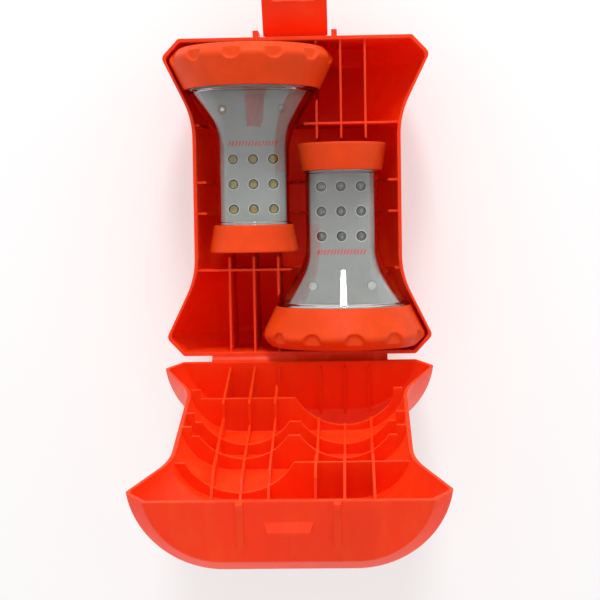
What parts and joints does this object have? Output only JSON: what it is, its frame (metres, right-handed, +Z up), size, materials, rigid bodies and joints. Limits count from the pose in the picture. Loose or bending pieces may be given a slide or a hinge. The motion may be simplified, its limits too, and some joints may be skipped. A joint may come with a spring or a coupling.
{
  "type": "led safety flare kit",
  "caption": "Hinged orange carrying case holding bell-shaped LED safety flares head to tail, with cradle ribs, a snap latch and lamps on opposite faces.",
  "frame": {"origin": "centre of the front foot's face, on the surface the case lies on", "axes": "+Z up, +Y from the latch towards the lid's hinge, +X to the right seen from the latch"},
  "size_m": [0.1592, 0.3152, 0.2556],
  "materials": {
    "case_plastic": "moulded polypropylene, satin",
    "film_plastic": "thin flexed polypropylene",
    "safety_rubber": "soft-touch rubber, satin",
    "clear_cover": "clear polycarbonate, polished",
    "silver_panel": "silver-grey painted plastic",
    "white_lamp": "clear epoxy over yellow phosphor",
    "red_lamp": "water-clear epoxy",
    "board": "solder-masked laminate",
    "chip": "moulded epoxy",
    "bright_screw": "bright plated",
    "inner_plastic": "moulded ABS, light grey",
    "button_rubber": "soft rubber",
    "cell": "label film",
    "contact": "nickel-plated spring steel",
    "seal": "pale silicone rubber"
  },
  "bodies": {
    "case": {"case_base": "case_plastic", "latch_film": "film_plastic", "lid_hinge_film": "film_plastic"},
    "lid": {"case_lid": "case_plastic"},
    "latch": {"latch_tongue": "case_plastic"},
    "flare_a": {"flare_a_foot_boot": "safety_rubber", "flare_a_lens_bell": "clear_cover", "flare_a_end_cap": "safety_rubber", "flare_a_panel_white": "silver_panel", "flare_a_panel_red": "silver_panel", "flare_a_white_leds": "white_lamp", "flare_a_red_leds": "red_lamp", "flare_a_circuit_board": "board", "flare_a_board_parts": "chip", "flare_a_panel_screws": "bright_screw", "flare_a_end_plate": "inner_plastic", "flare_a_switch": "chip", "flare_a_battery_tray": "inner_plastic", "flare_a_battery_cells": "cell", "flare_a_battery_contacts": "contact", "flare_a_seal_ring": "seal", "flare_a_bottom_cover": "inner_plastic", "flare_a_cover_screws": "bright_screw"},
    "flare_a_button": {"flare_a_push_button": "button_rubber"},
    "flare_b": {"flare_b_foot_boot": "safety_rubber", "flare_b_lens_bell": "clear_cover", "flare_b_end_cap": "safety_rubber", "flare_b_panel_white": "silver_panel", "flare_b_panel_red": "silver_panel", "flare_b_white_leds": "white_lamp", "flare_b_red_leds": "red_lamp", "flare_b_circuit_board": "board", "flare_b_board_parts": "chip", "flare_b_panel_screws": "bright_screw", "flare_b_end_plate": "inner_plastic", "flare_b_switch": "chip", "flare_b_battery_tray": "inner_plastic", "flare_b_battery_cells": "cell", "flare_b_battery_contacts": "contact", "flare_b_seal_ring": "seal", "flare_b_bottom_cover": "inner_plastic", "flare_b_cover_screws": "bright_screw"},
    "flare_b_button": {"flare_b_push_button": "button_rubber"}
  },
  "joints": [
    {"name": "lid_hinge", "type": "hinge", "parent": "case", "child": "lid", "pos_m": [0, 0.179, 0.065], "axis": [-1, 0, 0], "range_deg": [-105, 75], "deforming": ["lid_hinge_film"]},
    {"name": "latch_hinge", "type": "hinge", "parent": "case", "child": "latch", "pos_m": [0, -0.0159, 0.051], "axis": [1, 0, 0], "range_deg": [-53, 85], "deforming": ["latch_film"]},
    {"name": "flare_a_lift", "type": "slide", "parent": "case", "child": "flare_a", "axis": [0, 0, 1], "range_m": [0, 0.07]},
    {"name": "flare_b_lift", "type": "slide", "parent": "case", "child": "flare_b", "axis": [0, 0, 1], "range_m": [0, 0.07]},
    {"name": "flare_a_button_press", "type": "slide", "parent": "flare_a", "child": "flare_a_button", "axis": [0, -1, 0], "range_m": [0, 0.0012], "stiffness_N_per_m": 400, "springref_m": -0.001},
    {"name": "flare_b_button_press", "type": "slide", "parent": "flare_b", "child": "flare_b_button", "axis": [0, 1, 0], "range_m": [0, 0.0012], "stiffness_N_per_m": 400, "springref_m": -0.001}
  ]
}
